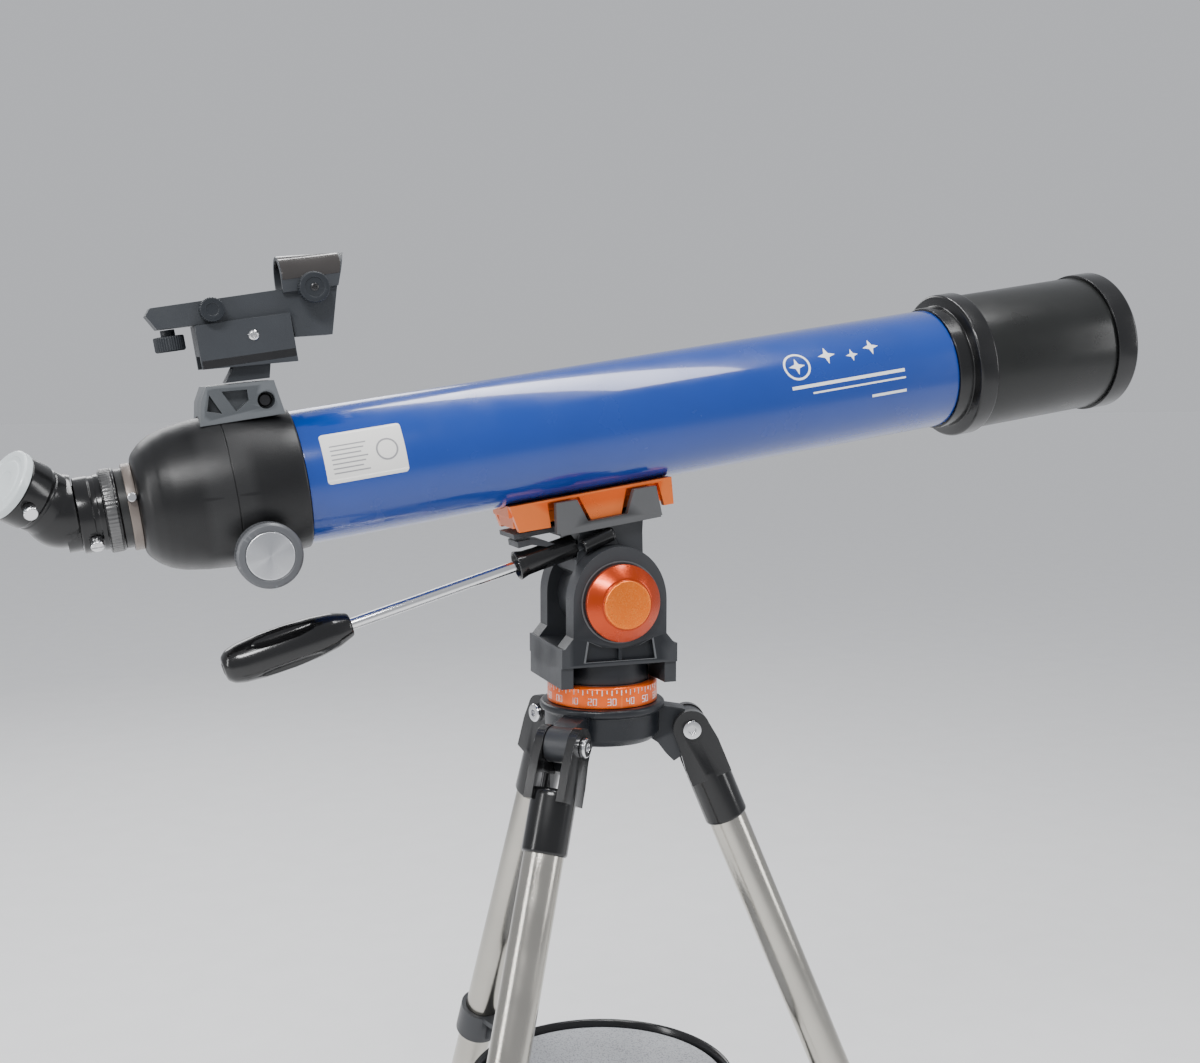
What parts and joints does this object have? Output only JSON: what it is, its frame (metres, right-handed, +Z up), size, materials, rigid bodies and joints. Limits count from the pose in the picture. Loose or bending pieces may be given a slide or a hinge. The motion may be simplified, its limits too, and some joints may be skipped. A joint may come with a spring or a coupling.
{
  "type": "telescope on tripod",
  "caption": "Refractor telescope with red-dot finder, star diagonal and rack focuser on a pan-handle alt-azimuth head, carried by a folding tube tripod with an accessory tray.",
  "frame": {"origin": "under the middle of the overall bounding box, on the floor", "axes": "+X the way the tube points, +Z up, -Y the side with the altitude knob"},
  "size_m": [0.8456, 0.6354, 1.0569],
  "materials": {
    "blue_gloss": "deep blue gloss enamel with long clear reflections",
    "black_gloss_plastic": "moulded black plastic with a soft gloss",
    "satin_black": "satin black paint",
    "cast_dark": "dark powder-coated casting",
    "grey_anodised": "grey anodised, turned",
    "slate_plastic": "matt slate-black moulded plastic",
    "orange_anodised": "bright orange anodised",
    "chrome": "polished",
    "leg_steel": "polished steel tube with a faint drawn grain",
    "lens_glass": "coated, faint cool tint",
    "cap_plastic": "translucent pale grey moulding",
    "rubber_foot": "matt moulded rubber",
    "grip_rubber": "glossy black moulded grip",
    "speckled_mat": "light grey speckled felt"
  },
  "bodies": {
    "tripod_hub": {"hub": "cast_dark", "leg1_bolt": "chrome", "leg2_bolt": "chrome", "leg3_bolt": "chrome"},
    "dial": {"azimuth_dial": "orange_anodised"},
    "fork_head": {"fork": "cast_dark", "altitude_axle": "chrome"},
    "tension_knob": {"altitude_knob": "orange_anodised"},
    "tilt_head": {"tilt_casting": "cast_dark", "saddle_jaw": "cast_dark", "handle_sleeve": "black_gloss_plastic"},
    "clamp_bolt": {"saddle_bolt": "black_gloss_plastic"},
    "pan_handle": {"handle_rod": "chrome", "handle_grip": "grip_rubber"},
    "optical_tube": {"main_tube": "blue_gloss", "objective_cell": "black_gloss_plastic", "objective_lens": "lens_glass", "focuser_housing": "black_gloss_plastic", "focuser_ring": "grey_anodised", "dovetail_bar": "orange_anodised", "finder_base": "slate_plastic", "finder_stem": "slate_plastic", "finder_body": "slate_plastic"},
    "shield": {"dew_shield": "satin_black"},
    "front_cap": {"dust_cap": "black_gloss_plastic"},
    "focus_spindle": {"focus_shaft": "chrome", "focus_knob_near": "grey_anodised", "focus_knob_far": "grey_anodised"},
    "draw": {"drawtube": "satin_black", "visual_back": "grey_anodised"},
    "collar_thumbscrew": {"collar_screw": "chrome"},
    "diagonal": {"diagonal_body": "black_gloss_plastic"},
    "socket_thumbscrew": {"eyepiece_screw": "chrome"},
    "socket_cap": {"eyepiece_cap": "cap_plastic"},
    "finder_adjuster_side": {"finder_knob_side": "slate_plastic"},
    "finder_switch": {"finder_knob_small": "slate_plastic"},
    "finder_adjuster_under": {"finder_knob_under": "slate_plastic"},
    "tray_unit": {"tray": "black_gloss_plastic", "tray_mat": "speckled_mat"},
    "leg1": {"leg1_bracket": "cast_dark", "leg1_upper": "leg_steel", "leg1_clamp": "black_gloss_plastic", "leg1_tray_arm": "cast_dark"},
    "leg1_extension": {"leg1_lower": "leg_steel", "leg1_foot": "rubber_foot"},
    "leg1_lock": {"leg1_knob": "black_gloss_plastic"},
    "leg2": {"leg2_bracket": "cast_dark", "leg2_upper": "leg_steel", "leg2_clamp": "black_gloss_plastic", "leg2_tray_arm": "cast_dark"},
    "leg2_extension": {"leg2_lower": "leg_steel", "leg2_foot": "rubber_foot"},
    "leg2_lock": {"leg2_knob": "black_gloss_plastic"},
    "leg3": {"leg3_bracket": "cast_dark", "leg3_upper": "leg_steel", "leg3_clamp": "black_gloss_plastic", "leg3_tray_arm": "cast_dark"},
    "leg3_extension": {"leg3_lower": "leg_steel", "leg3_foot": "rubber_foot"},
    "leg3_lock": {"leg3_knob": "black_gloss_plastic"}
  },
  "joints": [
    {"name": "azimuth", "type": "hinge", "parent": "tripod_hub", "child": "fork_head", "pos_m": [-0.00882, -0.04808, 0.7467], "axis": [0, 0, 1], "continuous": true},
    {"name": "dial_turn", "type": "hinge", "parent": "tripod_hub", "child": "dial", "pos_m": [-0.00882, -0.04808, 0.7487], "axis": [0, 0, 1], "continuous": true},
    {"name": "altitude", "type": "hinge", "parent": "fork_head", "child": "tilt_head", "pos_m": [-0.00882, -0.04808, 0.8167], "axis": [0, -1, 0], "range_deg": [-30, 56.4]},
    {"name": "altitude_tension", "type": "hinge", "parent": "fork_head", "child": "tension_knob", "pos_m": [-0.00882, -0.09408, 0.8167], "axis": [0, -1, 0], "range_deg": [0, 180]},
    {"name": "handle_twist", "type": "hinge", "parent": "tilt_head", "child": "pan_handle", "pos_m": [-0.07882, -0.06008, 0.84175], "axis": [-0.9588, 0, -0.284], "range_deg": [0, 180]},
    {"name": "saddle_clamp", "type": "hinge", "parent": "tilt_head", "child": "clamp_bolt", "pos_m": [-0.02144, -0.07448, 0.86], "axis": [0.9272, 0, 0.3746], "range_deg": [0, 360]},
    {"name": "tube_lift", "type": "slide", "parent": "tilt_head", "child": "optical_tube", "axis": [-0.1495, 0, 0.9888], "range_m": [0, 0.06]},
    {"name": "shield_off", "type": "slide", "parent": "optical_tube", "child": "shield", "axis": [0.9888, 0, 0.1495], "range_m": [0, 0.06]},
    {"name": "dust_cap_off", "type": "slide", "parent": "shield", "child": "front_cap", "axis": [0.9888, 0, 0.1495], "range_m": [0, 0.05]},
    {"name": "focus_spin", "type": "hinge", "parent": "optical_tube", "child": "focus_spindle", "pos_m": [-0.25338, -0.04808, 0.86224], "axis": [0, -1, 0], "range_deg": [0, 525]},
    {"name": "focus_travel", "type": "slide", "parent": "optical_tube", "child": "draw", "axis": [-0.9888, 0, -0.1495], "range_m": [0, 0.055]},
    {"name": "collar_screw_turn", "type": "hinge", "parent": "draw", "child": "collar_thumbscrew", "pos_m": [-0.35566, -0.07015, 0.8698], "axis": [0.0921, -0.788, -0.6087], "range_deg": [0, 360]},
    {"name": "diagonal_turn", "type": "hinge", "parent": "draw", "child": "diagonal", "pos_m": [-0.36318, -0.04808, 0.88609], "axis": [0.9888, 0, 0.1495], "continuous": true},
    {"name": "socket_screw_turn", "type": "hinge", "parent": "diagonal", "child": "socket_thumbscrew", "pos_m": [-0.39436, -0.0844, 0.89316], "axis": [0.1938, -0.8873, -0.4185], "range_deg": [0, 360]},
    {"name": "socket_cap_off", "type": "slide", "parent": "diagonal", "child": "socket_cap", "axis": [-0.7868, -0.3954, 0.4739], "range_m": [0, 0.03]},
    {"name": "finder_side_turn", "type": "hinge", "parent": "optical_tube", "child": "finder_adjuster_side", "pos_m": [-0.21699, -0.07208, 1.0322], "axis": [0, -1, 0], "range_deg": [-180, 180]},
    {"name": "finder_switch_turn", "type": "hinge", "parent": "optical_tube", "child": "finder_switch", "pos_m": [-0.28124, -0.06708, 1.01702], "axis": [0, -1, 0], "range_deg": [0, 270]},
    {"name": "finder_under_turn", "type": "hinge", "parent": "optical_tube", "child": "finder_adjuster_under", "pos_m": [-0.30655, -0.04808, 0.99579], "axis": [-0.1495, 0, 0.9888], "range_deg": [-180, 180]},
    {"name": "leg1_fold", "type": "hinge", "parent": "tripod_hub", "child": "leg1", "pos_m": [-0.05439, -0.09302, 0.7197], "axis": [0.7022, -0.712, 0], "range_deg": [0, 18]},
    {"name": "leg1_extend", "type": "slide", "parent": "leg1", "child": "leg1_extension", "axis": [-0.2725, -0.2687, -0.9239], "range_m": [-0.19, 0.18]},
    {"name": "leg1_lock_turn", "type": "hinge", "parent": "leg1", "child": "leg1_lock", "pos_m": [-0.2184, -0.25476, 0.25768], "axis": [-0.6578, -0.6487, 0.3827], "range_deg": [0, 180]},
    {"name": "leg2_fold", "type": "hinge", "parent": "tripod_hub", "child": "leg2", "pos_m": [0.05288, -0.06508, 0.7197], "axis": [0.2656, 0.9641, 0], "range_deg": [0, 18]},
    {"name": "leg2_extend", "type": "slide", "parent": "leg2", "child": "leg2_extension", "axis": [0.3689, -0.1016, -0.9239], "range_m": [-0.19, 0.18]},
    {"name": "leg2_lock_turn", "type": "hinge", "parent": "leg2", "child": "leg2_lock", "pos_m": [0.27495, -0.12625, 0.25768], "axis": [0.8907, -0.2453, 0.3827], "range_deg": [0, 180]},
    {"name": "leg3_fold", "type": "hinge", "parent": "tripod_hub", "child": "leg3", "pos_m": [-0.02495, 0.01385, 0.7197], "axis": [-0.9677, -0.2521, 0], "range_deg": [0, 18]},
    {"name": "leg3_extend", "type": "slide", "parent": "leg3", "child": "leg3_extension", "axis": [-0.0965, 0.3703, -0.9239], "range_m": [-0.19, 0.18]},
    {"name": "leg3_lock_turn", "type": "hinge", "parent": "leg3", "child": "leg3_lock", "pos_m": [-0.08302, 0.23675, 0.25768], "axis": [-0.2329, 0.894, 0.3827], "range_deg": [0, 180]},
    {"name": "tray_out", "type": "slide", "parent": "tripod_hub", "child": "tray_unit", "axis": [0.712, 0.7022, 0], "range_m": [0, 0.3245]}
  ],
  "couplings": [
    {"joint": "leg2_fold", "follows": "leg1_fold", "ratio": 1},
    {"joint": "leg3_fold", "follows": "leg1_fold", "ratio": 1},
    {"joint": "tray_out", "follows": "leg1_fold", "m_per_rad": 1.031},
    {"joint": "focus_travel", "follows": "focus_spin", "m_per_rad": 0.006}
  ]
}
